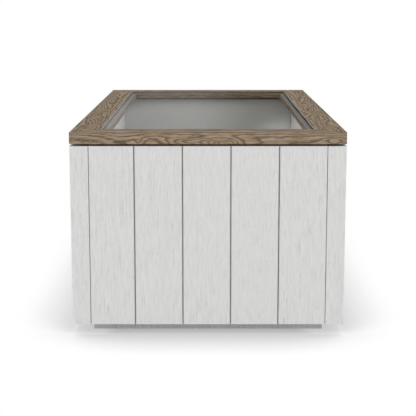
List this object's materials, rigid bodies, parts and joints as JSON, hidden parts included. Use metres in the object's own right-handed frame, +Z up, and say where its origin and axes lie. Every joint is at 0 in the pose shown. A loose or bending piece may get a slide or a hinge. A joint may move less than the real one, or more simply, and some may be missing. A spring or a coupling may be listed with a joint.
{
  "type": "coffee table",
  "caption": "Box-shaped coffee table: whitewashed tongued planks between corner posts on a recessed plinth, with a mitred oak frame and a lift-out glass pane.",
  "frame": {"origin": "on the floor under the middle of the table", "axes": "+X across the table, +Y along it away from the pictured short end, +Z up"},
  "size_m": [0.6, 1.2, 0.45],
  "materials": {
    "whitewashed_wood": "brushed softwood under a matt white wash",
    "whitewashed_board": "smooth veneered board under a matt white wash",
    "smoked_oak": "brushed oak, smoked grey-brown, matt oiled",
    "bare_wood": "planed, unfinished",
    "clear_glass": "clear float glass with ground edges",
    "glazing_tape": "pale foam glazing tape"
  },
  "bodies": {
    "table": {"bottom_board": "whitewashed_board", "frame_dowels": "bare_wood", "front_core_rail": "bare_wood", "front_left_post": "whitewashed_wood", "front_lining": "whitewashed_board", "front_plank_1": "whitewashed_wood", "front_plank_2": "whitewashed_wood", "front_plank_3": "whitewashed_wood", "front_plank_4": "whitewashed_wood", "front_plank_5": "whitewashed_wood", "front_plinth_board": "whitewashed_wood", "front_right_post": "whitewashed_wood", "front_top_rail": "smoked_oak", "glazing_tape": "glazing_tape", "left_core_rail": "bare_wood", "left_lining": "whitewashed_board", "left_plank_1": "whitewashed_wood", "left_plank_10": "whitewashed_wood", "left_plank_11": "whitewashed_wood", "left_plank_2": "whitewashed_wood", "left_plank_3": "whitewashed_wood", "left_plank_4": "whitewashed_wood", "left_plank_5": "whitewashed_wood", "left_plank_6": "whitewashed_wood", "left_plank_7": "whitewashed_wood", "left_plank_8": "whitewashed_wood", "left_plank_9": "whitewashed_wood", "left_plinth_board": "whitewashed_wood", "left_top_rail": "smoked_oak", "mitre_splines": "bare_wood", "plinth_blocks": "bare_wood", "rear_core_rail": "bare_wood", "rear_left_post": "whitewashed_wood", "rear_lining": "whitewashed_board", "rear_plank_1": "whitewashed_wood", "rear_plank_2": "whitewashed_wood", "rear_plank_3": "whitewashed_wood", "rear_plank_4": "whitewashed_wood", "rear_plank_5": "whitewashed_wood", "rear_plinth_board": "whitewashed_wood", "rear_right_post": "whitewashed_wood", "rear_top_rail": "smoked_oak", "right_core_rail": "bare_wood", "right_lining": "whitewashed_board", "right_plank_1": "whitewashed_wood", "right_plank_10": "whitewashed_wood", "right_plank_11": "whitewashed_wood", "right_plank_2": "whitewashed_wood", "right_plank_3": "whitewashed_wood", "right_plank_4": "whitewashed_wood", "right_plank_5": "whitewashed_wood", "right_plank_6": "whitewashed_wood", "right_plank_7": "whitewashed_wood", "right_plank_8": "whitewashed_wood", "right_plank_9": "whitewashed_wood", "right_plinth_board": "whitewashed_wood", "right_top_rail": "smoked_oak"},
    "pane": {"glass_pane": "clear_glass"}
  },
  "joints": [
    {"name": "glass_lift", "type": "slide", "parent": "table", "child": "pane", "axis": [0, 0, 1], "range_m": [0, 0.15]}
  ]
}
